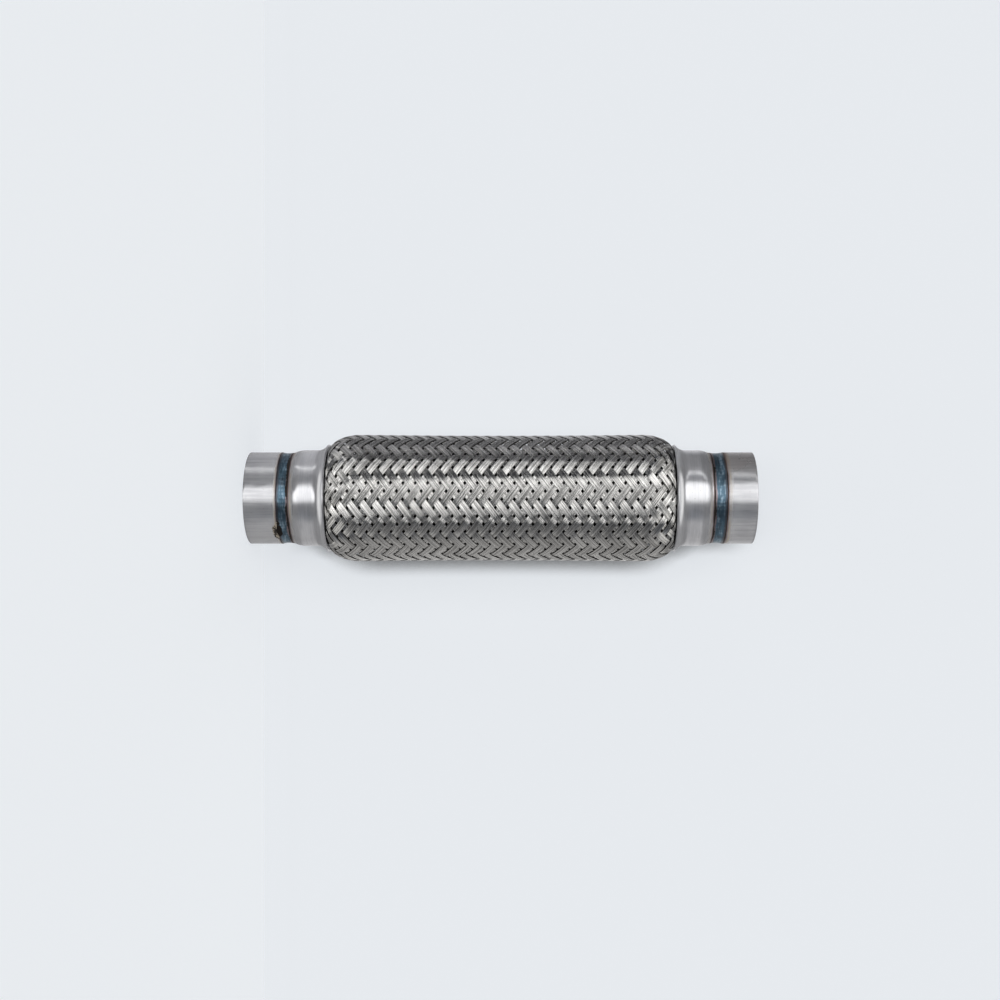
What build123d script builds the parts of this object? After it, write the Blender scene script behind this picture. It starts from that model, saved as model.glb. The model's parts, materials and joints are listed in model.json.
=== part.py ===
from build123d import *

import os
from itertools import pairwise
from math import atan, cos, degrees, pi, radians, sin

os.makedirs("parts", exist_ok=True)

# Exhaust flex pipe standing on its lower stub: Z runs along the pipe, z = 0 is the lower stub's rim.
# Lengths are millimetres. Both ends are alike, so the upper end mirrors the lower one.

# Driving dimensions: tube stubs and their welds
weld_to_weld = 250.0
stub_length = 20.0
bore_radius = 25.0
stub_wall = 1.5
weld_on_stub = 3.2
weld_on_cap = 5.4
weld_root_gap = 0.8
weld_root_land = 0.3
weld_sink = 0.5

# Driving dimensions: pressed end caps
cap_sheet = 1.2
cap_step = 1.25
neck_drop = 0.2
neck_length = 5.6
neck_taper_length = 3.4
sleeve_length = 10.0
flare_length = 6.0
flare_rise = 3.35

# Driving dimensions: outer wire braid
braid_rise = 8.45
braid_wall = 1.3
braid_cuff_wall = 0.8
shoulder_bulge = 0.5
shoulder_length = 17.7
shoulder_tuck = 0.7
strands_each_way = 24
strand_row_pitch = 3.44
ridge_height = 0.7
gap_width = 1.6
gap_ring_rows = (3, 5)
shoulder_cones = 3

# Driving dimensions: bellows, inner rings and liner
bellows_sheet = 0.4
convolution_pitch = 12.0
convolution_count = 14
root_rise = 0.85
crest_clearance = 0.4
ring_wall = 0.8
ring_length = 12.0
liner_wall = 1.4

# Clearance between the nested layers, and how deep they reach into the sleeve
nest_clearance = 0.05
grip_length = 7.0

# Heights along the lower end
middle = stub_length + weld_to_weld / 2
overall_length = 2 * middle
neck_top = stub_length + neck_length
sleeve_bottom = neck_top + neck_taper_length
sleeve_top = sleeve_bottom + sleeve_length
flare_top = sleeve_top + flare_length
flare_angle = 2 * degrees(atan(flare_rise / flare_length))
lip_height = flare_top + cap_sheet * sin(radians(flare_angle))
layers_bottom = sleeve_top - grip_length
ring_top = layers_bottom + ring_length
mid_plane = Plane.XY.offset(middle)

# Radii, each nested in the one before. The braid's lining has one flat side for each column, so
# its radii are those of the corners
stub_radius = bore_radius + stub_wall
sleeve_radius = stub_radius + cap_step
neck_radius = stub_radius - neck_drop
braid_cuff_radius = sleeve_radius - cap_sheet - nest_clearance
column_count = 2 * strands_each_way
column_angle = 360 / column_count
flat_side_share = cos(radians(column_angle / 2))
braid_cuff_bore = braid_cuff_radius - braid_cuff_wall
bellows_cuff_radius = braid_cuff_bore * flat_side_share - nest_clearance
ring_radius = bellows_cuff_radius - bellows_sheet - nest_clearance
braid_radius = sleeve_radius + braid_rise
shoulder_radius = braid_radius + shoulder_bulge
braid_cavity_radius = braid_radius - braid_wall
root_radius = bellows_cuff_radius + root_rise
crest_radius = braid_cavity_radius * flat_side_share - crest_clearance


# Lower stub: a plain tube with its outer edge bevelled for the weld
root_side = stub_length - weld_root_gap / 2
with BuildPart() as lower_stub:
    with BuildSketch(Plane.XZ):
        with BuildLine():
            Polyline(
                (bore_radius, 0),
                (stub_radius, 0),
                (stub_radius, stub_length - weld_on_stub),
                (bore_radius + weld_root_land, root_side),
                (bore_radius, root_side),
                close=True,
            )
        make_face()
    revolve(axis=Axis.Z)

with BuildPart() as upper_stub:
    mirror(lower_stub.part, about=mid_plane)


# Lower cap: a tube pressed to a necked end, a straight sleeve and a flared lip
cap_root_side = stub_length + weld_root_gap / 2
neck_bore_radius = neck_radius - cap_sheet
with BuildPart() as lower_cap:
    with BuildSketch(Plane.XZ):
        with BuildLine():
            lip_outer = (sleeve_radius + flare_rise, flare_top)
            lip_inner = (
                lip_outer[0] - cap_sheet * cos(radians(flare_angle)),
                lip_height,
            )
            Polyline(
                (neck_bore_radius, cap_root_side),
                (neck_bore_radius + weld_root_land, cap_root_side),
                (neck_radius, stub_length + weld_on_cap),
                (neck_radius, neck_top),
                (sleeve_radius, sleeve_bottom),
                (sleeve_radius, sleeve_top),
            )
            TangentArc((sleeve_radius, sleeve_top), lip_outer, tangent=(0, 1))
            Line(lip_outer, lip_inner)
            TangentArc(
                (sleeve_radius - cap_sheet, sleeve_top), lip_inner, tangent=(0, 1)
            )
            Polyline(
                (sleeve_radius - cap_sheet, sleeve_top),
                (sleeve_radius - cap_sheet, sleeve_bottom),
                (neck_bore_radius, neck_top),
                (neck_bore_radius, cap_root_side),
            )
        make_face()
    revolve(axis=Axis.Z)

with BuildPart() as upper_cap:
    mirror(lower_cap.part, about=mid_plane)


# Lower weld bead: fills the groove between stub and neck, its face sunk between the toes
with BuildPart() as lower_weld:
    with BuildSketch(Plane.XZ):
        with BuildLine():
            stub_toe = (stub_radius, stub_length - weld_on_stub)
            neck_toe = (neck_radius, stub_length + weld_on_cap)
            waist = (stub_radius - weld_sink, (stub_toe[1] + neck_toe[1]) / 2)
            Polyline(
                stub_toe,
                (bore_radius + weld_root_land, root_side),
                (neck_bore_radius + weld_root_land, cap_root_side),
                neck_toe,
            )
            ThreePointArc(stub_toe, waist, neck_toe)
        make_face()
    revolve(axis=Axis.Z)

with BuildPart() as upper_weld:
    mirror(lower_weld.part, about=mid_plane)


# Skin line of the braid, half its section: shoulder, slightly waisted middle, shoulder
shoulder_bottom = lip_height - shoulder_tuck
shoulder_top = shoulder_bottom + shoulder_length
upper_shoulder_bottom = overall_length - shoulder_bottom
upper_shoulder_top = overall_length - shoulder_top
shoulder_rise = shoulder_radius - braid_cuff_radius
with BuildLine(Plane.XZ) as braid_skin:
    EllipticalCenterArc(
        (braid_cuff_radius, shoulder_top), shoulder_rise, shoulder_length, -90
    )
    ThreePointArc(
        (shoulder_radius, shoulder_top),
        (braid_radius, middle),
        (shoulder_radius, upper_shoulder_top),
    )
    EllipticalCenterArc(
        (braid_cuff_radius, upper_shoulder_top), shoulder_rise, shoulder_length, 0
    )

skin = braid_skin.wire()
row_count = 2 * round(skin.length / strand_row_pitch / 2)


def turned(radius, column, height):
    """A point on the column's radius, at the given height."""
    turn = radians(column * column_angle)
    return Vector(radius * cos(turn), radius * sin(turn), height)


def weave_point(column, row):
    """A crossing of two strands stands proud, and the spot between crossings is a pit."""
    place = skin @ (row / row_count)
    along = skin % (row / row_count)
    is_pit = (column + row) % 2 == 1 and 0 < row < row_count
    depth = ridge_height if is_pit else 0
    return turned(place.X - depth * along.Z, column, place.Z + depth * along.X)


def weave_cell(column, row):
    """Two facets between four points, folded along the strand on top or between the pits.

    The weave is two over, two under: a strand lies on top between two crossings of its own.
    """
    low, next_low = weave[row][column], weave[row][column + 1]
    high, next_high = weave[row + 1][column], weave[row + 1][column + 1]
    strand_climbs = (column + row) % 2 == 0
    strand_on_top = column % 4 == (0 if strand_climbs else 2)
    if strand_climbs == strand_on_top:
        corners = ((low, next_low, next_high), (low, next_high, high))
    else:
        corners = ((low, next_low, high), (next_low, next_high, high))
    return [Face(Wire.make_polygon(triangle)) for triangle in corners]


weave = [
    [weave_point(column % column_count, row) for column in range(column_count + 1)]
    for row in range(row_count + 1)
]
braid_facets = [
    facet
    for row in range(row_count)
    for column in range(column_count)
    for facet in weave_cell(column, row)
]

# Section line of the pressed cuff and of the lining, from the weave's root to the shoulder
lining_rise = braid_cavity_radius - braid_cuff_bore
lining_reach = shoulder_length - braid_wall
lower_lining = [
    (braid_cuff_radius, shoulder_bottom),
    (braid_cuff_radius, layers_bottom),
    (braid_cuff_bore, layers_bottom),
    *[
        (
            braid_cuff_bore + lining_rise * sin(step * pi / 2 / shoulder_cones),
            shoulder_top - lining_reach * cos(step * pi / 2 / shoulder_cones),
        )
        for step in range(shoulder_cones + 1)
    ],
]
upper_lining = [(radius, overall_length - height) for radius, height in lower_lining]
lining_rings = [
    [turned(radius, column, height) for column in range(column_count)]
    for radius, height in lower_lining + upper_lining[::-1]
]
for ring, next_ring in pairwise(lining_rings):
    for column in range(column_count):
        side = (ring[column - 1], ring[column], next_ring[column], next_ring[column - 1])
        braid_facets.append(Face(Wire.make_polygon(side)))


# Open gaps: full rings where the shoulders stretch the strands apart, and one at the middle
gap_rows = (
    *gap_ring_rows,
    row_count // 2,
    *(row_count - row for row in gap_ring_rows),
)
gap_depth = 6 * braid_wall
with BuildPart() as braid_gaps:
    for row in gap_rows:
        spot = skin @ (row / row_count)
        first_pit = column_angle * (1 - row % 2)
        with Locations((0, 0, spot.Z)):
            with PolarLocations(spot.X, strands_each_way, first_pit):
                Box(gap_depth, gap_width, gap_width, rotation=(45, 0, 0))

with BuildPart() as outer_braid:
    add(Solid(Shell(braid_facets)))
    add(braid_gaps.part, mode=Mode.SUBTRACT)


# Bellows: thin sheet with ring folds between two plain cuffs
folds_bottom = middle - convolution_count * convolution_pitch / 2
with BuildPart() as bellows:
    with BuildSketch(Plane.XZ):
        with BuildLine():
            fold_points = [
                (bellows_cuff_radius, layers_bottom),
                (bellows_cuff_radius, folds_bottom),
            ]
            for fold in range(convolution_count):
                crest_height = folds_bottom + (fold + 0.5) * convolution_pitch
                root_height = folds_bottom + (fold + 1) * convolution_pitch
                fold_points += [(crest_radius, crest_height), (root_radius, root_height)]
            fold_points[-1] = (bellows_cuff_radius, overall_length - folds_bottom)
            fold_points.append((bellows_cuff_radius, overall_length - layers_bottom))
            sheet_line = Polyline(*fold_points)
            offset(
                sheet_line,
                amount=bellows_sheet,
                side=Side.LEFT,
                kind=Kind.INTERSECTION,
                closed=True,
            )
        make_face()
    revolve(axis=Axis.Z)


# Inner rings: short sleeves that back the pressed layers
with BuildPart() as lower_inner_ring:
    with BuildSketch(Plane.XY.offset(layers_bottom)):
        Circle(ring_radius)
        Circle(ring_radius - ring_wall, mode=Mode.SUBTRACT)
    extrude(amount=ring_length)

with BuildPart() as upper_inner_ring:
    mirror(lower_inner_ring.part, about=mid_plane)


# Liner: the strip-wound hose that carries the gas from one inner ring to the other
with BuildPart() as liner:
    with BuildSketch(Plane.XY.offset(ring_top)):
        Circle(ring_radius)
        Circle(ring_radius - liner_wall, mode=Mode.SUBTRACT)
    extrude(amount=overall_length - 2 * ring_top)


lower_stub.part.label = "lower_stub"
export_step(lower_stub.part, "parts/lower_stub.step")
upper_stub.part.label = "upper_stub"
export_step(upper_stub.part, "parts/upper_stub.step")
lower_weld.part.label = "lower_weld_bead"
export_step(lower_weld.part, "parts/lower_weld_bead.step")
upper_weld.part.label = "upper_weld_bead"
export_step(upper_weld.part, "parts/upper_weld_bead.step")
lower_cap.part.label = "lower_end_cap"
export_step(lower_cap.part, "parts/lower_end_cap.step")
upper_cap.part.label = "upper_end_cap"
export_step(upper_cap.part, "parts/upper_end_cap.step")
outer_braid.part.label = "outer_braid"
export_step(outer_braid.part, "parts/outer_braid.step")
bellows.part.label = "bellows"
export_step(bellows.part, "parts/bellows.step")
lower_inner_ring.part.label = "lower_inner_ring"
export_step(lower_inner_ring.part, "parts/lower_inner_ring.step")
upper_inner_ring.part.label = "upper_inner_ring"
export_step(upper_inner_ring.part, "parts/upper_inner_ring.step")
liner.part.label = "inner_liner"
export_step(liner.part, "parts/inner_liner.step")
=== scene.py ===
import json
from math import atan2, cos, exp, hypot, pi, radians, sin, tan

import bmesh
import bpy
from mathutils import Matrix, Vector, noise

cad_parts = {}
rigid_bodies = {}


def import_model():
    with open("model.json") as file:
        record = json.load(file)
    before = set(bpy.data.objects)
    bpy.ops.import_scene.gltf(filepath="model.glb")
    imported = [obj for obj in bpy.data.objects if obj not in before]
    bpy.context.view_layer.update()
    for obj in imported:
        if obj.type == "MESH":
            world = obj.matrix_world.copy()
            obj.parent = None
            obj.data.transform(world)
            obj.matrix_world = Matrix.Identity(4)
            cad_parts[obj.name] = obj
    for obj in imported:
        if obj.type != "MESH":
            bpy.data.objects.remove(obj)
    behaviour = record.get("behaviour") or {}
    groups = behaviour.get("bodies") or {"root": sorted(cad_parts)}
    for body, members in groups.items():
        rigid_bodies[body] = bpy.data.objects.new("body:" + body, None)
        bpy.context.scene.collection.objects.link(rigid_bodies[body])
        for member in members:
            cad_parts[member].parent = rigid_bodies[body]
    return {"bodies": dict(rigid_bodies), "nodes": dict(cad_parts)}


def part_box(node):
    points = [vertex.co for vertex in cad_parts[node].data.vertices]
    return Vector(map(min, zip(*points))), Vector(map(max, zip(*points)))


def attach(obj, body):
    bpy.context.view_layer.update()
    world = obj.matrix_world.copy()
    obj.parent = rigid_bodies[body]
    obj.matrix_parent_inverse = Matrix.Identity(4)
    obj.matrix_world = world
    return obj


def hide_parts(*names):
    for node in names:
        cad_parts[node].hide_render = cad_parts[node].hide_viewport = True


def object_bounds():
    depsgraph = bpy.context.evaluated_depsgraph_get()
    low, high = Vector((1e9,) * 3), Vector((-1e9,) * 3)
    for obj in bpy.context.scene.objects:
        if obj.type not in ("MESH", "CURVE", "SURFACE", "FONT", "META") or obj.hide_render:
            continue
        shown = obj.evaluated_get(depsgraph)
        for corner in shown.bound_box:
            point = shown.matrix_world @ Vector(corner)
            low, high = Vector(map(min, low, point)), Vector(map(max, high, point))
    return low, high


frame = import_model()
cad_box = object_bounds()

# Exhaust flex pipe, standing on its lower stub. Sizes are metres, angles are radians.
# Turns are measured round the pipe from +X. The photograph's right is +Z. The camera looks along
# +Y turned by VIEW_TURN, so that the woven pattern lies as it does in the photograph.
MM = 0.001
BODY = next(iter(frame["bodies"]))
VIEW_TURN = radians(-8.95)
VIEW_UP = Vector((-cos(VIEW_TURN), -sin(VIEW_TURN), 0))

# Places read from the frame
PIPE_LENGTH = cad_box[1].z
MIDDLE = PIPE_LENGTH / 2
STUB_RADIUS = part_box("lower_stub")[1].x
STUB_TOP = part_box("lower_stub")[1].z
WELD_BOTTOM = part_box("lower_weld_bead")[0].z
WELD_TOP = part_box("lower_weld_bead")[1].z
CAP_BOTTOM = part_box("lower_end_cap")[0].z
WELD_MIDDLE = (STUB_TOP + CAP_BOTTOM) / 2
LIP_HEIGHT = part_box("lower_end_cap")[1].z
LIP_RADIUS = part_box("lower_end_cap")[1].x
CUFF_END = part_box("outer_braid")[0].z
BRAID_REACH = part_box("outer_braid")[1].x
LINER_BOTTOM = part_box("inner_liner")[0].z
LINER_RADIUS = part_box("inner_liner")[1].x

# Tube stubs and caps
STUB_WALL = 1.5 * MM
CAP_SHEET = 1.2 * MM
CAP_STEP = 1.25 * MM
NECK_DROP = 0.2 * MM
NECK_LENGTH = 5.6 * MM
NECK_TAPER = 3.4 * MM
SLEEVE_LENGTH = 10 * MM
FLARE_LENGTH = 6 * MM
OUTER_BEND = 13 * MM
INNER_BEND = 3 * MM
ROOT_FACE = 0.3 * MM
SOFT_EDGE = 0.25 * MM

# The weld's toes on stub and cap, the upper ones also as at the lower end
LOWER_TOES = (18.5 * MM, WELD_TOP - 0.2 * MM)
UPPER_TOES = (WELD_BOTTOM + 0.2 * MM, WELD_TOP - 0.8 * MM)
TOE_FADE = 2.5 * MM

# How far the toes stray, each with the size of that wave along the toe
TOE_WAVES = ((0.42 * MM, 9 * MM), (0.22 * MM, 2.6 * MM))

# Burn beside the lower weld, and how far it pulls the stub's toe, over how wide an angle
BURN = Vector((15.7, -21.2, 18.2)) * MM
BURN_PULL = 0.9 * MM
BURN_WIDTH = 0.16

# How deep the face of the weld lies, and how high its ripples and streaks are
BEAD_SINK = 0.04 * MM
BEAD_DISH = 0.42 * MM
TOE_GROOVE = 0.26 * MM
RIPPLE_HEIGHT = 0.06 * MM
STREAK_HEIGHT = 0.20 * MM

# How deep the outside of the sheet is dinged, dented and wavy, and what counts as outside
DING_DEPTH = 0.12 * MM
DENT_DEPTH = 0.08 * MM
LIP_WAVE = 0.25 * MM
OUTER_LAYER = 0.4 * MM

# Fineness of the stubs and caps
POINTS_ROUND = 240
OUTLINE_STEP = 1.1 * MM

# Braid
STRANDS_EACH_WAY = 24
ROW_PITCH = 3.44 * MM
COLUMN_TURN = pi / STRANDS_EACH_WAY
CUFF_RADIUS = 26.5 * MM
BRAID_RADIUS = 36.2 * MM
SHOULDER_RADIUS = 36.7 * MM
SHOULDER_LENGTH = 17.7 * MM
SHOULDER_TUCK = 0.7 * MM


class Value:
    """An output socket of a node. Arithmetic on values adds Math nodes to their tree."""

    def __init__(self, tree, socket):
        self.tree = tree
        self.socket = socket

    def maths(self, operation, *others):
        inputs = dict(enumerate((self, *others)))
        return self.tree.add("ShaderNodeMath", {"operation": operation}, inputs)

    def __add__(self, other):
        return self.maths("ADD", other)

    def __radd__(self, other):
        return self.maths("ADD", other)

    def __sub__(self, other):
        return self.maths("SUBTRACT", other)

    def __rsub__(self, other):
        return self.tree.add("ShaderNodeMath", {"operation": "SUBTRACT"}, {0: other, 1: self})

    def __mul__(self, other):
        return self.maths("MULTIPLY", other)

    def __rmul__(self, other):
        return self.maths("MULTIPLY", other)

    def __truediv__(self, other):
        return self.maths("DIVIDE", other)

    def __rtruediv__(self, other):
        return self.tree.add("ShaderNodeMath", {"operation": "DIVIDE"}, {0: other, 1: self})

    def __mod__(self, other):
        return self.maths("FLOORED_MODULO", other)

    def __neg__(self):
        return self.maths("MULTIPLY", -1)

    def __abs__(self):
        return self.maths("ABSOLUTE")

    def __lt__(self, other):
        return self.maths("LESS_THAN", other)

    def __gt__(self, other):
        return self.maths("GREATER_THAN", other)


class Tree:
    """A node tree of a material, the world or a geometry modifier, and the ways to fill it."""

    def __init__(self, tree):
        self.tree = tree

    def add(self, kind, settings=None, inputs=None, output=0):
        """Adds a node, makes its settings, then sets or links its inputs."""
        node = self.tree.nodes.new(kind)
        for name, setting in (settings or {}).items():
            if name == "stops":
                elements = node.color_ramp.elements
                while len(elements) < len(setting):
                    elements.new(1.0)
                for element, (position, colour) in zip(elements, setting):
                    element.position = position
                    element.color = (*colour, 1.0)
            else:
                setattr(node, name, setting)
        for name, value in (inputs or {}).items():
            if isinstance(value, Value):
                self.tree.links.new(value.socket, node.inputs[name])
            else:
                node.inputs[name].default_value = value
        return Value(self, node.outputs[output]) if node.outputs else None

    def vector(self, x, y, z):
        return self.add("ShaderNodeCombineXYZ", {}, {0: x, 1: y, 2: z})

    def parts(self, vector):
        split = self.add("ShaderNodeSeparateXYZ", {}, {0: vector})
        return [Value(self, socket) for socket in split.socket.node.outputs]

    def mix(self, factor, low, high):
        """Blends two colours."""
        inputs = {0: factor, 6: low, 7: high}
        return self.add("ShaderNodeMix", {"data_type": "RGBA"}, inputs, output=2)

    def ramp(self, value, stops):
        """A colour for each value, by stops of (value, colour)."""
        return self.add("ShaderNodeValToRGB", {"stops": stops}, {0: value})

    def noise(self, vector, scale, detail=3.0, roughness=0.55):
        inputs = {"Vector": vector, "Scale": scale, "Detail": detail, "Roughness": roughness}
        return self.add("ShaderNodeTexNoise", {}, inputs)

    def smooth(self, value, low, high):
        """0 below low and 1 above high, with a smooth step between them."""
        settings = {"interpolation_type": "SMOOTHSTEP"}
        return self.add("ShaderNodeMapRange", settings, {0: value, 1: low, 2: high})


def solid(colour):
    """A colour with full opacity, as sockets take it."""
    return (*colour, 1.0)


# Materials


def new_material(name):
    material = bpy.data.materials.new(name)
    material.use_nodes = True
    material.node_tree.nodes.clear()
    return material, Tree(material.node_tree)


def finish_metal(tree, colour, roughness, height, depth, metallic=1.0):
    """Ends a material in a metal shader. height is the relief from 0 to 1, depth its size."""
    normal = tree.add("ShaderNodeBump", {}, {"Strength": 1.0, "Distance": depth, "Height": height})
    inputs = {"Base Color": colour, "Roughness": roughness, "Metallic": metallic, "Normal": normal}
    shader = tree.add("ShaderNodeBsdfPrincipled", {}, inputs)
    tree.add("ShaderNodeOutputMaterial", {}, {"Surface": shader})


def object_place(tree):
    return tree.add("ShaderNodeTexCoord", output=3)


def drawn_lines(tree, place, fine=2600.0):
    """Streaks along the pipe, as drawing leaves them: noise that changes only round the pipe."""
    x, y, z = tree.parts(place)
    return tree.noise(tree.vector(x, y, z * 0.03), fine, detail=2.0, roughness=0.6)


def turned_lines(tree, place, fine=2600.0):
    """Rings round the pipe, as pressing leaves them: noise that changes mostly along it."""
    x, y, z = tree.parts(place)
    return tree.noise(tree.vector(x * 0.04, y * 0.04, z), fine, detail=2.0, roughness=0.6)


STEEL = (0.75, 0.755, 0.785)
STEEL_DARK = (0.55, 0.555, 0.585)
STRAW = (0.60, 0.53, 0.435)
BROWN = (0.22, 0.155, 0.12)
PURPLE = (0.26, 0.22, 0.27)
SOOT = (0.035, 0.030, 0.028)
BLUE = (0.105, 0.175, 0.235)
PALE_BLUE = (0.32, 0.43, 0.53)
SLATE = (0.075, 0.095, 0.125)
ASH = (0.10, 0.095, 0.11)
MAUVE = (0.33, 0.25, 0.255)
WIRE_DARK = (0.46, 0.455, 0.445)
WIRE_PALE = (0.92, 0.915, 0.90)
# Painted shade for the underside and sides of the braid's strands
WIRE_PAINTED_SHADE = (0.06, 0.058, 0.055)


def burnt(tree, place):
    """1 in the burn beside the lower weld, and how much of its char is scraped off there."""
    long_ways = Vector((1, 1, 2.7))
    settings = {"operation": "MULTIPLY"}
    stretched = tree.add("ShaderNodeVectorMath", settings, {0: place, 1: long_ways})
    ends = {0: stretched, 1: BURN * long_ways}
    far = tree.add("ShaderNodeVectorMath", {"operation": "DISTANCE"}, ends, output=1)
    edge = tree.noise(place, 380.0) - 0.5
    scraped = tree.smooth(tree.noise(place, 900.0) + edge, 0.46, 0.58)
    return 1 - tree.smooth(far + edge * (9 * MM), 6.2 * MM, 7.2 * MM), scraped


def sheet_steel(name, lines, shine, toe, way, tint_reach, stain_side):
    """Steel tube or cap with the weld's heat tint fading away from the weld's toe.

    shine is 0 for the scuffed tube and 1 for the paler pressed cap. way is 1 where the
    metal lies above the toe and -1 below it. stain_side is how strongly a brown stain covers
    the side of the pipe that is up in the photograph.
    """
    steel_dark = Vector(STEEL_DARK) * (1 + 0.14 * shine)
    steel_pale = Vector(STEEL) * (1 + 0.08 * shine)
    material, tree = new_material(name)
    place = object_place(tree)
    x, y, z = tree.parts(place)
    clouds = tree.noise(place, 70.0, detail=4.0)
    fine = lines(tree, place)
    broad = lines(tree, place, 520.0)
    tone = clouds * 0.35 + fine * 0.35 + broad * 0.40
    steel = tree.mix(tree.smooth(tone, 0.40, 0.66), solid(steel_dark), solid(steel_pale))
    away = (z - toe) * way + (clouds - 0.5) * (1.4 * tint_reach)
    tint = tree.ramp(
        away / (3 * tint_reach),
        [(0.0, SOOT), (0.06, BROWN), (0.15, PURPLE), (0.36, STRAW), (0.9, steel_pale)],
    )
    patches = tree.smooth(tree.noise(place, 55.0), 0.38, 0.62) * 0.7 + 0.3
    patches = patches.maths("MAXIMUM", 1 - tree.smooth(away, tint_reach * 0.4, tint_reach * 0.8))
    amount = (1 - tree.smooth(away, tint_reach * 0.9, tint_reach * 3)) * patches
    colour = tree.mix(amount, steel, tint)
    up = x * VIEW_UP.x + y * VIEW_UP.y
    stain = tree.smooth(clouds * 0.03 + up, 0.024, 0.040) * stain_side
    colour = tree.mix(stain, colour, solid(BROWN))
    spots = tree.smooth(tree.noise(place, 900.0, detail=2.0), 0.68, 0.74)
    colour = tree.mix(spots * 0.4, colour, solid(BROWN))
    burn, scraped = burnt(tree, place)
    colour = tree.mix(burn, colour, tree.mix(scraped, solid(SOOT), solid(STRAW)))
    roughness = 0.17 + clouds * 0.10 + amount * 0.25 + stain * 0.15
    relief = fine * 0.35 + broad + clouds * 0.6
    depth = (0.035 - 0.02 * shine) * MM
    finish_metal(tree, colour, roughness, relief, depth, metallic=0.55 + 0.07 * shine)
    return material


def weld_metal(name):
    """Blued weld with slate clouds and paler streaks, a mauve rim at the cap, and sooty toes.

    side runs across the bead, from -1 at the tube to 1 at the cap.
    """
    material, tree = new_material(name)
    place = object_place(tree)
    x, y, z = tree.parts(place)
    ripple = tree.add("ShaderNodeAttribute", {"attribute_name": "ripple"}, output=2)
    side = tree.add("ShaderNodeAttribute", {"attribute_name": "side"}, output=2)
    toe = (abs(side) - 0.45) / 0.55
    cap_side = tree.smooth(side, 0.0, 0.2)
    clouds = tree.noise(place, 200.0, detail=4.0)
    grain = tree.noise(place, 1500.0, detail=3.0)
    streaks = tree.noise(tree.vector(x, y, z * 5.0), 190.0, detail=3.0)
    pale = tree.smooth(streaks + ripple * 0.12, 0.52, 0.74)
    face = tree.mix(pale * 0.85, solid(BLUE), solid(PALE_BLUE))
    face = tree.mix(tree.smooth(clouds, 0.52, 0.66) * 0.55, face, solid(SLATE))
    rim = tree.smooth(toe + (clouds - 0.5) * 0.5, 0.15, 0.5)
    face = tree.mix(rim * 0.8, face, tree.mix(cap_side, solid(ASH), solid(MAUVE)))
    soot = tree.smooth(toe + (clouds - 0.5) * 0.4 - cap_side * 0.12, 0.80, 1.0)
    soot = soot.maths("MAXIMUM", burnt(tree, place)[0])
    colour = tree.mix(soot, face, solid(SOOT))
    roughness = 0.26 + grain * 0.16 + soot * 0.35
    relief = grain * 0.3 + streaks * 1.2
    finish_metal(tree, colour, roughness, relief, 0.14 * MM, metallic=0.9)
    return material


def braid_wire():
    """Bright stainless wire, each with its own tone, and painted shade on strand undersides."""
    material, tree = new_material("braid_wire")
    place = object_place(tree)
    tone = tree.add("ShaderNodeAttribute", {"attribute_name": "tone"}, output=2)
    depth = tree.add("ShaderNodeAttribute", {"attribute_name": "depth"}, output=2)
    clouds = tree.noise(place, 60.0, detail=4.0)
    scratches = tree.noise(place, 1400.0, detail=3.0)
    level = tree.smooth(tone * 0.6 + clouds * 0.45 + scratches * 0.15, 0.25, 0.90)
    colour = tree.mix(level, solid(WIRE_DARK), solid(WIRE_PALE))
    # Painted shade: darkens the strand's underside and its sides, where the depth attribute is 1.
    colour = tree.mix(tree.smooth(depth, 0.0, 1.0), colour, solid(WIRE_PAINTED_SHADE))
    roughness = 0.12 + tone * 0.06
    finish_metal(tree, colour, roughness, scratches, 0.004 * MM)
    return material


def bellows_steel():
    """Thin folded sheet, dull from forming, coloured dark as painted shade inside the braid."""
    material, tree = new_material("bellows_steel")
    place = object_place(tree)
    clouds = tree.noise(place, 90.0, detail=4.0)
    rings = tree.noise(tree.vector(0.0, 0.0, tree.parts(place)[2]), 3000.0)
    # Painted shade: the sheet is coloured near black, as it is only seen in the shade through the
    # braid's gaps.
    colour = tree.mix(clouds, solid((0.09, 0.085, 0.08)), solid((0.20, 0.195, 0.185)))
    finish_metal(tree, colour, 0.35 + clouds * 0.2, rings, 0.02 * MM)
    return material


def liner_steel():
    """Strip of the liner, rolled bright."""
    material, tree = new_material("liner_steel")
    place = object_place(tree)
    clouds = tree.noise(place, 120.0, detail=4.0)
    grain = tree.noise(place, 1600.0)
    colour = tree.mix(clouds, solid((0.38, 0.375, 0.36)), solid((0.60, 0.59, 0.57)))
    finish_metal(tree, colour, 0.26 + clouds * 0.15, grain, 0.015 * MM)
    return material


# Meshes turned round the pipe's axis


def rounded(corners, steps=3):
    """A closed outline through (radius, height, rounding) corners, each rounded by an arc."""
    line = []
    for number, (radius, height, rounding) in enumerate(corners):
        corner = Vector((radius, height))
        back = (Vector(corners[number - 1][:2]) - corner).normalized()
        ahead = (Vector(corners[(number + 1) % len(corners)][:2]) - corner).normalized()
        if not rounding:
            line.append(corner)
            continue
        half_angle = back.angle(ahead) / 2
        centre = corner + (back + ahead).normalized() * (rounding / sin(half_angle))
        reach = rounding / tan(half_angle)
        start = corner + back * reach - centre
        sweep = (corner + ahead * reach - centre).angle_signed(start)
        for step in range(steps + 1):
            turn = Matrix.Rotation(sweep * step / steps, 2)
            line.append(centre + turn @ start)
    return line


def spaced(line, most):
    """The same closed outline with no stretch longer than most."""
    points = []
    for number, point in enumerate(line):
        ahead = line[(number + 1) % len(line)]
        count = max(1, round((ahead - point).length / most))
        points += [point.lerp(ahead, step / count) for step in range(count)]
    return points


def new_piece(name, mesh, material, slot, *nodes):
    """Makes a finished mesh a piece of the pipe that stands for those nodes."""
    piece = bpy.data.objects.new(name, mesh)
    bpy.context.scene.collection.objects.link(piece)
    mesh.materials.clear()
    mesh.materials.append(material)
    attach(piece, BODY)
    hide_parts(*nodes)


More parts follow.
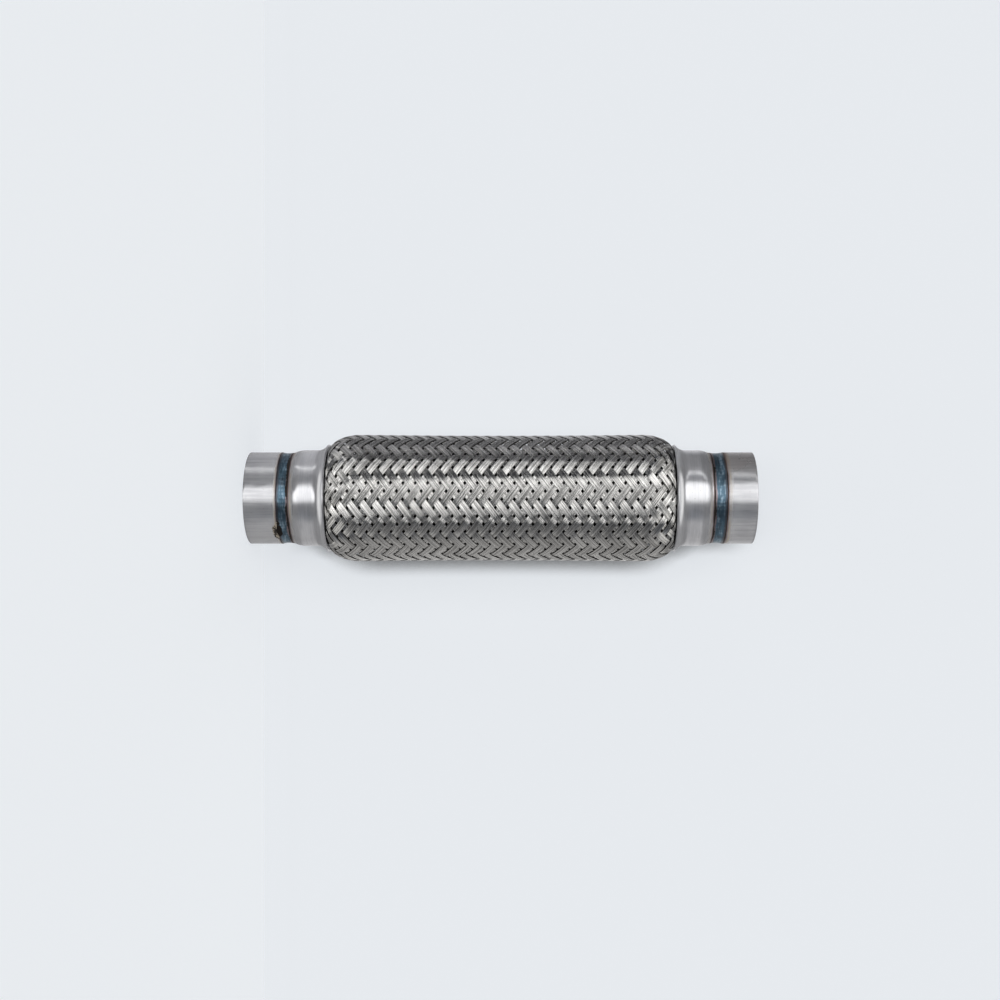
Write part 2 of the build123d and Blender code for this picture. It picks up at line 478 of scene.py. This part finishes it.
def ring_mesh(name, points, around):
    """A closed ring through the points: the same count of them for each step round it."""
    count = len(points) // around
    faces = []
    for number in range(around):
        here = number * count
        there = (number + 1) % around * count
        for corner in range(count):
            after = (corner + 1) % count
            faces.append((here + corner, there + corner, there + after, here + after))
    mesh = bpy.data.meshes.new(name)
    mesh.from_pydata(points, [], faces)
    shell = bmesh.new()
    shell.from_mesh(mesh)
    bmesh.ops.recalc_face_normals(shell, faces=shell.faces)
    shell.to_mesh(mesh)
    shell.free()
    mesh.shade_smooth()
    return mesh


def turned_mesh(name, outline, shape):
    """A ring with that closed outline. shape moves each point, given radius, turn and height."""
    points = []
    for number in range(POINTS_ROUND):
        turn = 2 * pi * number / POINTS_ROUND
        for outline_radius, outline_height in outline:
            radius, height = shape(outline_radius, turn, outline_height)
            points.append((radius * cos(turn), radius * sin(turn), height))
    mesh = ring_mesh(name, points, POINTS_ROUND)
    mesh.set_sharp_from_angle(angle=radians(38))
    return mesh


def flipped(height):
    """A height of the lower end at the upper end, and the other way round."""
    return PIPE_LENGTH - height


def at_end(outline, upper):
    """An outline of the lower end, or the same outline at the upper end."""
    return [(radius, flipped(height) if upper else height) for radius, height in outline]


def wobble(turn, height, size, seed):
    """Smooth irregular value from -1 to 1, over the surface of the pipe."""
    place = Vector((cos(turn), sin(turn), 0)) * STUB_RADIUS + Vector((0, 0, height))
    return noise.noise(place / size + Vector((seed, seed, seed)))


def toe_wave(turn, upper, on_cap):
    """How far the weld's toe strays along the pipe, at that turn."""
    seed = 6.0 + 3.0 * on_cap + 1.7 * upper
    wave = sum(reach * wobble(turn, 0.0, size, seed) for reach, size in TOE_WAVES)
    if not upper and not on_cap:
        from_burn = (turn - atan2(BURN.y, BURN.x) + pi) % (2 * pi) - pi
        wave -= BURN_PULL * exp(-((from_burn / BURN_WIDTH) ** 2))
    return wave


def weld_toes(upper):
    """Heights of the weld's toes on stub and cap, as at the lower end."""
    return UPPER_TOES if upper else LOWER_TOES


def near_toe(low, toe):
    """1 at the toe, fading to 0 away from it."""
    return max(0.0, 1 - abs(low - toe) / TOE_FADE)


def stub(name, upper):
    """Short tube with a softly cut rim, shallow dings, and bevelled where it is welded."""
    bore = STUB_RADIUS - STUB_WALL
    toe, _ = weld_toes(upper)
    corners = [
        (bore, 0.0, SOFT_EDGE),
        (STUB_RADIUS, 0.0, SOFT_EDGE),
        (STUB_RADIUS, toe, SOFT_EDGE),
        (bore + ROOT_FACE, STUB_TOP, 0.0),
        (bore, STUB_TOP, 0.0),
    ]
    outline = at_end(spaced(rounded(corners), OUTLINE_STEP), upper)

    def shape(radius, turn, height):
        """Dings the outside, and lets the toe stray."""
        if radius < STUB_RADIUS - OUTER_LAYER:
            return radius, height
        low = flipped(height) if upper else height
        ding = DING_DEPTH * max(0.0, wobble(turn, height, 7 * MM, 3.0) - 0.25)
        shift = toe_wave(turn, upper, False) * near_toe(low, toe)
        return radius - ding, height - shift if upper else height + shift

    return turned_mesh(name, outline, shape)


def cap(name, upper):
    """Pressed cap: neck, taper, sleeve and a lip that flares out along an arc."""
    neck = STUB_RADIUS - NECK_DROP
    sleeve = STUB_RADIUS + CAP_STEP
    _, toe = weld_toes(upper)
    neck_top = WELD_MIDDLE + NECK_LENGTH
    sleeve_bottom = neck_top + NECK_TAPER
    sleeve_top = sleeve_bottom + SLEEVE_LENGTH
    rise = LIP_RADIUS - sleeve
    sweep = 2 * atan2(rise, FLARE_LENGTH)
    arc_radius = rise / (1 - cos(sweep))

    def flare(sheet, steps=10, lip_edge=0.3 * MM):
        """Corners of the flare on the outside, or that much sheet further in, up to the lip."""
        radius = arc_radius + sheet
        return [
            (
                sleeve + arc_radius - radius * cos(sweep * step / steps),
                sleeve_top + radius * sin(sweep * step / steps),
                lip_edge if step == steps else 0.0,
            )
            for step in range(1, steps + 1)
        ]

    corners = [
        (neck - CAP_SHEET, CAP_BOTTOM, 0.0),
        (neck - CAP_SHEET + ROOT_FACE, CAP_BOTTOM, 0.0),
        (neck, toe, 0.15 * MM),
        (neck + 0.04 * MM, neck_top, 0.3 * MM),
        (sleeve, sleeve_bottom, OUTER_BEND),
        (sleeve, sleeve_top, 0.0),
        *flare(0.0),
        *reversed(flare(CAP_SHEET)),
        (sleeve - CAP_SHEET, sleeve_top, 0.0),
        (sleeve - CAP_SHEET, sleeve_bottom, INNER_BEND),
        (neck - CAP_SHEET, neck_top, INNER_BEND),
    ]
    outline = at_end(spaced(rounded(corners, steps=5), OUTLINE_STEP), upper)

    def shape(radius, turn, height):
        """Dents the sheet, makes the lip a little wavy, and lets the toe stray."""
        low = flipped(height) if upper else height
        lip = max(0.0, (low - sleeve_top) / (LIP_HEIGHT - sleeve_top))
        wave = LIP_WAVE * lip * wobble(turn, 0.0, 16 * MM, 5.0 if upper else 9.0)
        dent = DENT_DEPTH * min(0.0, wobble(turn, height, 9 * MM, 2.0))
        if radius > neck - OUTER_LAYER:
            shift = toe_wave(turn, upper, True) * near_toe(low, toe)
            wave += shift if upper else -shift
        return radius + dent, height - wave

    return turned_mesh(name, outline, shape)


def weld_bead(name, upper):
    """Bead with faint ripples and long uneven streaks, a shallow dish with grooved toes."""
    around = 480
    across = 26
    ripples = 70
    crest_at = 0.8
    groove_from = 0.8
    streak_length = 7 * MM
    streak_width = 2.2 * MM
    stub_toe, cap_toe = weld_toes(upper)
    width = cap_toe - stub_toe
    root = STUB_RADIUS - STUB_WALL + ROOT_FACE
    points, ripple_values, side_values = [], [], []
    for number in range(around):
        turn = 2 * pi * number / around
        stub_wave = toe_wave(turn, upper, False)
        cap_wave = toe_wave(turn, upper, True)
        for step in range(across + 1):
            share = step / across
            side = 2 * share - 1
            bowl = cos(side * pi / 2)
            groove = max(0.0, abs(side) - groove_from) / (1 - groove_from)
            phase = ripples * turn + 2.2 * side * side + 2.4 * wobble(turn, 0.0, 6 * MM, 4.0)
            ripple = (phase / (2 * pi)) % 1.0
            crest = ripple if ripple < crest_at else (1 - ripple) / (1 - crest_at) * crest_at
            place = Vector((cos(turn), sin(turn), 0)) * STUB_RADIUS / streak_length
            place.z = share * width / streak_width + 5.0 * upper
            streak = noise.noise(place)
            radius = STUB_RADIUS - NECK_DROP * share - BEAD_SINK
            radius -= bowl * BEAD_DISH + groove * groove * TOE_GROOVE
            radius += bowl * (RIPPLE_HEIGHT * crest + STREAK_HEIGHT * streak)
            height = stub_toe + width * share + stub_wave * (1 - share) + cap_wave * share
            height = flipped(height) if upper else height
            points.append((radius * cos(turn), radius * sin(turn), height))
            ripple_values.append(crest * bowl)
            side_values.append(side)
        for height in (CAP_BOTTOM, STUB_TOP):
            height = flipped(height) if upper else height
            points.append((root * cos(turn), root * sin(turn), height))
            ripple_values.append(0.0)
            side_values.append(1.0)
    mesh = ring_mesh(name, points, around)
    for attribute, values in (("ripple", ripple_values), ("side", side_values)):
        mesh.attributes.new(attribute, "FLOAT", "POINT").data.foreach_set("value", values)
    return mesh


# Braid and liner, made by geometry nodes


def shoulder_arc(steps=24):
    """Quarter ellipse from the cuff out to the shoulder, as (radius, height) points."""
    bottom = LIP_HEIGHT - SHOULDER_TUCK
    rise = SHOULDER_RADIUS - CUFF_RADIUS
    return [
        (
            CUFF_RADIUS + rise * sin(pi / 2 * step / steps),
            bottom + SHOULDER_LENGTH * (1 - cos(pi / 2 * step / steps)),
        )
        for step in range(steps + 1)
    ]


def skin_line(steps=12):
    """The braid's skin from the lower cuff's end to its middle, then mirrored to the upper end."""
    arc = shoulder_arc()
    top = arc[-1][1]
    waist = [
        (
            BRAID_RADIUS + (SHOULDER_RADIUS - BRAID_RADIUS) * (1 - step / steps) ** 2,
            top + (MIDDLE - top) * step / steps,
        )
        for step in range(1, steps + 1)
    ]
    half = [(CUFF_RADIUS, CUFF_END), *arc, *waist]
    return half + [(radius, flipped(height)) for radius, height in half[-2::-1]]


def path_length(points):
    return sum(hypot(b[0] - a[0], b[1] - a[1]) for a, b in zip(points, points[1:]))


def line_object(name, points):
    """A curve through (radius, height) points in the XZ plane."""
    curve = bpy.data.curves.new(name, "CURVE")
    curve.dimensions = "3D"
    spline = curve.splines.new("POLY")
    spline.points.add(len(points) - 1)
    for point, (radius, height) in zip(spline.points, points):
        point.co = (radius, 0.0, height, 1.0)
    line = bpy.data.objects.new(name, curve)
    bpy.context.scene.collection.objects.link(line)
    return line


def new_geometry_tree(name, sizes):
    """A geometry tree with a named input for each size, and the values of those inputs."""
    group = bpy.data.node_groups.new(name, "GeometryNodeTree")
    group.interface.new_socket("Geometry", in_out="OUTPUT", socket_type="NodeSocketGeometry")
    kinds = {int: "NodeSocketInt", float: "NodeSocketFloat"}
    for label, size in sizes.items():
        kind = kinds.get(type(size))
        if isinstance(size, bpy.types.Object):
            kind = "NodeSocketObject"
        elif isinstance(size, bpy.types.Material):
            kind = "NodeSocketMaterial"
        group.interface.new_socket(label, in_out="INPUT", socket_type=kind)
    tree = Tree(group)
    entry = tree.add("NodeGroupInput")
    values = {label: Value(tree, entry.socket.node.outputs[label]) for label in sizes}
    return tree, values


def mesh_from_tree(name, tree, sizes):
    """Evaluates the tree with those sizes and returns the plain mesh that it makes."""
    carrier = bpy.data.objects.new(name, bpy.data.meshes.new(name))
    bpy.context.scene.collection.objects.link(carrier)
    modifier = carrier.modifiers.new(name, "NODES")
    modifier.node_group = tree.tree
    for socket in tree.tree.interface.items_tree:
        if socket.in_out == "INPUT":
            modifier[socket.identifier] = sizes[socket.name]
    evaluated = carrier.evaluated_get(bpy.context.evaluated_depsgraph_get())
    mesh = bpy.data.meshes.new_from_object(evaluated)
    carrier.modifiers.remove(modifier)
    bpy.data.objects.remove(carrier)
    mesh.name = name
    return mesh


WIRES = 9
POINTS_PER_WIRE = 3
ROW_STEPS = 4
SECTION_STEPS = WIRES * POINTS_PER_WIRE + 3

# Shares of a wire's thickness
EDGE_DROP = 0.2
WIRE_UNEVENNESS = 0.06

# Shares of a strand's width
UNDERSIDE_WIDTH = 0.8
STRAND_SWELL = 0.08
SHOULDER_THINNING = 0.10

# How much flatter the weave is in the cuffs
CUFF_SQUEEZE = 0.2


def named(tree, name, kind="FLOAT"):
    """The value kept in a named attribute."""
    return tree.add("GeometryNodeInputNamedAttribute", {"data_type": kind}, {"Name": name})


def stored(tree, geometry, name, value, kind="FLOAT", domain="POINT"):
    """The geometry with that value kept in a named attribute."""
    settings = {"data_type": kind, "domain": domain}
    inputs = {"Geometry": geometry, "Name": name, "Value": value}
    return tree.add("GeometryNodeStoreNamedAttribute", settings, inputs)


def sampled(tree, line, length):
    """Radius, height and outward direction on the skin line, at that length along it."""
    info = tree.add("GeometryNodeObjectInfo", {}, {"Object": line}, output=4)
    sample = tree.add(
        "GeometryNodeSampleCurve",
        {"mode": "LENGTH", "use_all_curves": True},
        {"Curves": info, "Length": length},
        output=1,
    )
    tangent = Value(tree, sample.socket.node.outputs["Tangent"])
    radius, _, height = tree.parts(sample)
    out_x, _, out_z = tree.parts(tangent)
    return radius, height, out_z, -out_x


def braid_tree(sizes):
    """A group of strands that wind one way, woven two over and two under."""
    tree, size = new_geometry_tree("braid_strands", sizes)
    steps = size["Steps Along"]
    counts = {"Vertices X": SECTION_STEPS + 1, "Vertices Y": steps + 1}
    grid = tree.add("GeometryNodeMeshGrid", {}, {"Size X": 1.0, "Size Y": 1.0, **counts})
    position = tree.add("GeometryNodeInputPosition")
    grid = stored(tree, grid, "place", position, kind="FLOAT_VECTOR")
    line = tree.add("GeometryNodeMeshLine", {}, {"Count": size["Strands"]})
    strands = tree.add("GeometryNodeInstanceOnPoints", {}, {"Points": line, "Instance": grid})
    number = tree.add("GeometryNodeInputIndex") + size["First Strand"]
    strands = stored(tree, strands, "strand", number, domain="INSTANCE")
    strands = tree.add("GeometryNodeRealizeInstances", {}, {"Geometry": strands})

    place_x, place_y, _ = tree.parts(named(tree, "place", "FLOAT_VECTOR"))
    strand = named(tree, "strand")
    way = size["Way"]
    section = ((place_x + 0.5) * SECTION_STEPS).maths("ROUND") % SECTION_STEPS
    step_along = ((place_y + 0.5) * steps).maths("ROUND")
    along = step_along / steps * size["Skin Length"]
    row_place = along - size["Cuff Length"]
    rows = way * (row_place - size["Slide"]) / ROW_PITCH
    woven_length = size["Skin Length"] - size["Cuff Length"]
    from_root = row_place.maths("MINIMUM", woven_length - along)

    # Section of the strand: round wires side by side on top, a flat underside
    top_steps = WIRES * POINTS_PER_WIRE
    on_top = section < top_steps + 0.5
    underside = (top_steps + 1.5 - section) * UNDERSIDE_WIDTH
    share = underside + (section / top_steps - 0.5 - underside) * on_top
    at_edge = abs(share) > 0.49
    valley = (section * (2 * pi / POINTS_PER_WIRE)).maths("COSINE").maths("MAXIMUM", 0.0)
    valley = valley * size["Wire Relief"] * (1 - at_edge)
    wire = (section / POINTS_PER_WIRE).maths("FLOOR")
    wire_key = tree.vector(wire, strand, way)
    lift = tree.add("ShaderNodeTexWhiteNoise", {}, {"Vector": wire_key})
    uneven = (lift - 0.5) * WIRE_UNEVENNESS * (1 - at_edge)
    top = 0.5 - valley - at_edge * EDGE_DROP + uneven
    rise = (on_top * (top + 0.5) - 0.5) * size["Wire"]

    # The strand closes to a point at its hidden ends, squeezes into the cuffs, and thins
    # where the shoulder stretches the weave
    closed = step_along.maths("MINIMUM", steps - step_along).maths("MINIMUM", 1.0)
    in_weave = tree.smooth(from_root, -3 * MM, 4 * MM)
    stretched = 1 - tree.smooth(abs(from_root - 6 * MM), 3 * MM, 14 * MM)
    drift_key = tree.vector(along / (9 * MM), strand * 3.7, way * 5.3)
    drift = (tree.noise(drift_key, 1.0, detail=1.0) - 0.5) * size["Drift"]
    swell_key = tree.vector(along / (14 * MM), strand * 5.1, way * 8.9)
    swell = 1 + (tree.noise(swell_key, 1.0, detail=1.0) - 0.5) * STRAND_SWELL
    width = size["Strand Width"] * swell * (1 - stretched * SHOULDER_THINNING)
    offset = share * width * closed + drift

    # Lie of the strand: lines at a slant that follows the radius
    radius = sampled(tree, size["Skin Line"], along)[0]
    slope = radius * (COLUMN_TURN / ROW_PITCH)
    slant_cos = 1 / (slope * slope + 1).maths("SQRT")
    slant_sin = slope * slant_cos
    shifted = along - way * slant_sin * offset
    side_turn = slant_cos * offset / radius
    turn = (strand * 2 + rows) * COLUMN_TURN + side_turn
    across = (side_turn / COLUMN_TURN - slant_sin * offset / ROW_PITCH) * 0.5
    crossing = strand * 2 + rows + across
    wave = ((crossing - 0.5) * (pi / 2)).maths("COSINE") * size["Sharpness"]
    weave = way * size["Weave Height"] * wave.maths("TANH")
    squeeze = 1 - CUFF_SQUEEZE + in_weave * CUFF_SQUEEZE
    lie = (weave + rise * closed) * squeeze - size["Depth"] * squeeze

    shifted = shifted.maths("MAXIMUM", 0.0).maths("MINIMUM", size["Skin Length"])
    radius, height, out, up = sampled(tree, size["Skin Line"], shifted)
    radius = radius + out * lie
    x = radius * turn.maths("COSINE")
    y = radius * turn.maths("SINE")
    spot = tree.vector(x, y, height + up * lie)
    strands = tree.add("GeometryNodeSetPosition", {}, {"Geometry": strands, "Position": spot})
    tone_key = tree.vector(strand, wire, way * 7.0)
    tone = tree.add("ShaderNodeTexWhiteNoise", {}, {"Vector": tone_key})
    strands = stored(tree, strands, "tone", tone)
    # depth marks the strand's underside and sides, where braid_wire paints shade
    strands = stored(tree, strands, "depth", 1 - on_top)
    joined = {"Geometry": strands, "Distance": 0.001 * MM}
    strands = tree.add("GeometryNodeMergeByDistance", {}, joined)
    finished = {"Geometry": strands, "Material": size["Material"]}
    tree.add("NodeGroupOutput", {}, {0: tree.add("GeometryNodeSetMaterial", {}, finished)})
    return tree


def braid(material):
    """The woven hose, in three pieces for each way that its strands wind."""
    line = skin_line()
    skin = line_object("skin_line", line)
    strands = STRANDS_EACH_WAY // 3
    sizes = {
        "Skin Line": skin,
        "Skin Length": path_length(line),
        "Cuff Length": path_length(line[:2]),
        "Steps Along": round(path_length(line) / ROW_PITCH) * ROW_STEPS,
        "Way": 1.0,
        "First Strand": 0,
        "Strands": strands,
        "Strand Width": 3.98 * MM,
        "Wire": 0.44 * MM,
        "Wire Relief": 0.21,
        "Weave Height": 0.28 * MM,
        "Sharpness": 3.5,
        "Depth": 0.56 * MM,
        "Drift": 0.22 * MM,
        "Slide": 2.0 * MM,
        "Material": material,
    }
    tree = braid_tree(sizes)
    for way, side in ((1.0, "right"), (-1.0, "left")):
        for group in range(3):
            name = f"braid_{side}_wound_{group + 1}"
            sizes |= {"Way": way, "First Strand": strands * group}
            mesh = mesh_from_tree(name, tree, sizes)
            mesh.shade_smooth()
            mesh.set_sharp_from_angle(angle=radians(50))
            new_piece(name, mesh, material, "braid_wire", "outer_braid")
    bpy.data.objects.remove(skin)


def liner_tree(sizes):
    """A strip wound into a hose, with its edges hooked into the next turn."""
    tree, size = new_geometry_tree("wound_strip", sizes)
    course = {
        "Resolution": size["Steps per Turn"],
        "Rotations": size["Turns"],
        "Start Radius": size["Radius"],
        "End Radius": size["Radius"],
        "Height": size["Height"],
    }
    spiral = tree.add("GeometryNodeCurveSpiral", {}, course)
    spiral = tree.add("GeometryNodeSetCurveNormal", {"mode": "Z_UP"}, {"Curve": spiral})
    info = tree.add("GeometryNodeObjectInfo", {}, {"Object": size["Section"]}, output=4)
    profile = {"Curve": spiral, "Profile Curve": info, "Fill Caps": True}
    strip = tree.add("GeometryNodeCurveToMesh", {}, profile)
    lift = tree.vector(0.0, 0.0, size["Bottom"])
    strip = tree.add("GeometryNodeTransform", {}, {"Geometry": strip, "Translation": lift})
    strip = tree.add("GeometryNodeRealizeInstances", {}, {"Geometry": strip})
    finished = {"Geometry": strip, "Material": size["Material"]}
    tree.add("NodeGroupOutput", {}, {0: tree.add("GeometryNodeSetMaterial", {}, finished)})
    return tree


def liner(material):
    """The strip-wound hose between the inner rings."""
    strip = 0.4 * MM
    hook = 0.7 * MM
    depth = 1.4 * MM
    width = 9.4 * MM
    pitch = 8 * MM
    middle = width * 0.55
    section = [
        (0.0, 0.0),
        (0.0, middle),
        (depth - strip, middle + 0.3 * MM),
        (depth - strip, width - strip),
        (depth - hook, width - strip),
        (depth - hook, width),
        (depth, width),
        (depth, middle - 0.1 * MM),
        (strip, middle - 0.4 * MM),
        (strip, strip),
        (hook, strip),
        (hook, 0.0),
    ]
    curve = bpy.data.curves.new("strip_section", "CURVE")
    spline = curve.splines.new("POLY")
    spline.points.add(len(section) - 1)
    for point, (inwards, below) in zip(spline.points, reversed(section)):
        point.co = (inwards, below, 0.0, 1.0)
    spline.use_cyclic_u = True
    outline = bpy.data.objects.new("strip_section", curve)
    bpy.context.scene.collection.objects.link(outline)
    height = PIPE_LENGTH - 2 * LINER_BOTTOM - width
    sizes = {
        "Section": outline,
        "Steps per Turn": 64,
        "Turns": height / pitch,
        "Radius": LINER_RADIUS,
        "Height": height,
        "Bottom": LINER_BOTTOM + width,
        "Material": material,
    }
    mesh = mesh_from_tree("wound_liner", liner_tree(sizes), sizes)
    mesh.set_sharp_from_angle(angle=radians(35))
    bpy.data.objects.remove(outline)
    new_piece("wound_liner", mesh, material, "liner_steel", "inner_liner")


# Stage, light and camera


def stage_material(name, paper, own_light, shaded):
    """Pale sheet that only the camera sees, from its front. It keeps the pipe's shadow.

    The backing sheet is also shaded close under the pipe, where the pipe shuts off the light
    from the direction shaded.
    """
    material, tree = new_material(name)
    camera = tree.add("ShaderNodeLightPath", output=0)
    back = tree.add("ShaderNodeNewGeometry", output=6)
    cover = tree.add("ShaderNodeBsdfDiffuse", {}, {"Color": solid(paper)})
    glow_colour = solid(own_light)
    if shaded:
        open_share = tree.add(
            "ShaderNodeAmbientOcclusion",
            {"samples": 12},
            {"Distance": 25 * MM, "Normal": tree.vector(*shaded)},
            output=1,
        )
        from_floor = tree.smooth(tree.parts(object_place(tree))[2], 12 * MM, 40 * MM)
        shadow = (1 - tree.smooth(open_share, 0.50, 0.96)) * from_floor * 0.9
        glow_colour = tree.mix(shadow, glow_colour, solid((0.0, 0.0, 0.0)))
    glow = tree.add("ShaderNodeEmission", {}, {"Color": glow_colour, "Strength": 1.0})
    sheet = tree.add("ShaderNodeAddShader", {}, {0: cover, 1: glow})
    clear = tree.add("ShaderNodeBsdfTransparent")
    surface = tree.add("ShaderNodeMixShader", {}, {0: camera * (1 - back), 1: clear, 2: sheet})
    tree.add("ShaderNodeOutputMaterial", {}, {"Surface": surface})
    return material


def sheet(name, corners, material):
    """One flat face that belongs to the stage."""
    mesh = bpy.data.meshes.new(name)
    mesh.from_pydata(corners, [], [(0, 1, 2, 3)])
    mesh.materials.append(material)
    plane = bpy.data.objects.new(name, mesh)
    bpy.context.scene.collection.objects.link(plane)


def studio():
    """Floor under the pipe and the paper sheet close behind it."""
    reach = 3.0
    height = 3.0
    floor_light = (0.555, 0.585, 0.62)
    back_light = (0.62, 0.65, 0.685)
    floor = stage_material("floor_paper", (0.50, 0.50, 0.50), floor_light, None)
    corners = [(-reach, -reach, 0), (reach, -reach, 0), (reach, reach, 0), (-reach, reach, 0)]
    sheet("floor", corners, floor)
    stand = Matrix.Rotation(VIEW_TURN, 3, "Z")
    shaded = stand @ Vector((-0.8, -0.6, 0.0))
    paper = stage_material("backing_paper", (0.30, 0.30, 0.30), back_light, shaded)
    back = BRAID_REACH + 0.1 * MM
    corners = [(-reach, back, 0), (reach, back, 0), (reach, back, height), (-reach, back, height)]
    sheet("backing_sheet", [stand @ Vector(corner) for corner in corners], paper)


# Light of the room for each direction round the pipe, in degrees from the camera's own
# direction, positive towards the photograph's top
ROOM_LIGHT = [
    (-180, (0.78, 0.78, 0.79)),
    (-150, (0.72, 0.715, 0.71)),
    (-118, (0.58, 0.57, 0.56)),
    (-62, (0.53, 0.525, 0.52)),
    (-46, (0.11, 0.13, 0.16)),
    (-26, (0.035, 0.045, 0.065)),
    (40, (0.035, 0.045, 0.07)),
    (52, (0.035, 0.045, 0.065)),
    (64, (0.46, 0.46, 0.48)),
    (98, (0.52, 0.52, 0.545)),
    (130, (0.66, 0.66, 0.685)),
    (180, (0.78, 0.78, 0.79)),
]
UNLIT = (0.015, 0.015, 0.017)
STRIP_LIGHT = (1.6, 1.6, 1.58)
END_LIGHT = (1.15, 1.14, 1.10)
BOX_LIGHT = (1.0, 0.995, 0.98)
BACKGROUND = (0.79, 0.82, 0.85)


def background(tree, colour, strength=1.0):
    return tree.add("ShaderNodeBackground", {}, {"Color": colour, "Strength": strength})


def light():
    """Soft studio light from the world: a large soft box beside the camera, dark gaps round
    it and the pale room beyond. The camera itself sees a plain pale background.
    """
    world = bpy.data.worlds.new("studio")
    bpy.context.scene.world = world
    world.use_nodes = True
    world.node_tree.nodes.clear()
    tree = Tree(world.node_tree)
    direction = tree.add("ShaderNodeTexCoord", output=0)
    x, y, z = tree.parts(direction)
    turn = tree.add("ShaderNodeMath", {"operation": "ARCTAN2"}, {0: -x, 1: -y})
    turn = ((turn + VIEW_TURN) * (180 / pi) + 180) % 360 - 180
    stops = [(degree / 360 + 0.5, colour) for degree, colour in ROOM_LIGHT]
    room = tree.ramp(turn / 360 + 0.5, stops)

    # The room is darker to both sides, most of all in the gap round the box, and to the upper
    # right. A strip light hangs aslant above the box, and the ends are bright again
    near_box = tree.smooth(turn, -56.0, -38.0) * (1 - tree.smooth(turn, 54.0, 64.0))
    upper = tree.smooth(turn, 54.0, 64.0) * (1 - tree.smooth(turn, 120.0, 160.0))
    sideways = tree.smooth(abs(z), 0.10, 0.26)
    right = tree.smooth(z, -0.17, 0.08)
    lit = (1 - sideways * 0.62) * (1 - sideways * near_box * 0.7) * (1 - right * upper * 0.85)
    room = tree.mix(1 - lit, room, solid(UNLIT))
    strip = 1 - tree.smooth(abs(turn + z * 42 - 68), 1.5, 5.0)
    strip = strip * (1 - tree.smooth(abs(z), 0.42, 0.52))
    room = tree.mix(strip, room, solid(STRIP_LIGHT))
    room = tree.mix(tree.smooth(abs(z), 0.82, 0.92), room, solid(END_LIGHT))
    room_light = background(tree, room)

    # The box is brighter towards its top edge, its left and its two ends. Its upper left corner
    # is cut away
    top = (z * 45 + 38).maths("MINIMUM", 38.0)
    box = tree.smooth(turn, -15.0, -3.0) * (1 - tree.smooth(turn - top, -4.0, 2.0))
    box = box * tree.smooth(z, -0.68, -0.54) * (1 - tree.smooth(z, 0.64, 0.74))
    strength = tree.smooth(turn, -8.0, 26.0) * 0.35 + 1.5 - z * 0.4
    strength = strength + tree.smooth(abs(z), 0.20, 0.40) * 0.3
    box_light = background(tree, solid(BOX_LIGHT), strength)
    studio_light = tree.add("ShaderNodeMixShader", {}, {0: box, 1: room_light, 2: box_light})
    camera = tree.add("ShaderNodeLightPath", output=0)
    ways = {0: camera, 1: studio_light, 2: background(tree, solid(BACKGROUND))}
    surface = tree.add("ShaderNodeMixShader", {}, ways)
    tree.add("ShaderNodeOutputWorld", {}, {"Surface": surface})


# Camera of the photograph, with places in its pixels
PICTURE_SIZE = 1000
PIXELS_PER_METRE = 1722.0
CAMERA_DISTANCE = 0.80
OPTICAL_CENTRE = (530.0, 500.0)
PIPE_MIDDLE = (501.5, 498.0)


def camera():
    """Looks from the photograph's side, with the pipe's length across the picture."""
    data = bpy.data.cameras.new("camera")
    data.sensor_width = 36.0
    data.lens = data.sensor_width * CAMERA_DISTANCE * PIXELS_PER_METRE / PICTURE_SIZE
    data.shift_x = 0.5 - OPTICAL_CENTRE[0] / PICTURE_SIZE
    data.shift_y = OPTICAL_CENTRE[1] / PICTURE_SIZE - 0.5
    data.clip_start = 0.01
    across = MIDDLE + (OPTICAL_CENTRE[0] - PIPE_MIDDLE[0]) / PIXELS_PER_METRE
    down = (OPTICAL_CENTRE[1] - PIPE_MIDDLE[1]) / PIXELS_PER_METRE
    eye = bpy.data.objects.new("camera", data)
    bpy.context.scene.collection.objects.link(eye)
    before_pipe = Matrix(
        (
            (0, -1, 0, down),
            (0, 0, -1, -CAMERA_DISTANCE),
            (1, 0, 0, across),
            (0, 0, 0, 1),
        )
    )
    eye.matrix_world = Matrix.Rotation(VIEW_TURN, 4, "Z") @ before_pipe
    bpy.context.scene.camera = eye


camera()
studio()
light()

for end, upper in (("lower", False), ("upper", True)):
    stub_toe, cap_toe = weld_toes(upper)
    way = -1 if upper else 1
    if upper:
        stub_toe, cap_toe = flipped(stub_toe), flipped(cap_toe)
    reach = 1.3 * MM if upper else 0.7 * MM
    stain = 0.35 if upper else 0.0
    stub_steel = sheet_steel(f"{end}_stub_steel", drawn_lines, 0, stub_toe, -way, reach, stain)
    cap_steel = sheet_steel(f"{end}_cap_steel", turned_lines, 1, cap_toe, way, 1.1 * MM, 0.0)
    stub_mesh = stub(f"{end}_tube_stub", upper)
    new_piece(f"{end}_tube_stub", stub_mesh, stub_steel, "stub_steel", f"{end}_stub")
    cap_mesh = cap(f"{end}_pressed_cap", upper)
    new_piece(f"{end}_pressed_cap", cap_mesh, cap_steel, "cap_steel", f"{end}_end_cap")
    bead_mesh = weld_bead(f"{end}_rippled_weld", upper)
    blued = weld_metal(f"{end}_weld_metal")
    new_piece(f"{end}_rippled_weld", bead_mesh, blued, "weld_metal", f"{end}_weld_bead")
    frame["nodes"][f"{end}_inner_ring"].data.materials[0] = cap_steel

braid(braid_wire())
frame["nodes"]["bellows"].data.materials[0] = bellows_steel()
liner(liner_steel())

view_settings = bpy.context.scene.view_settings
view_settings.view_transform = "Standard"
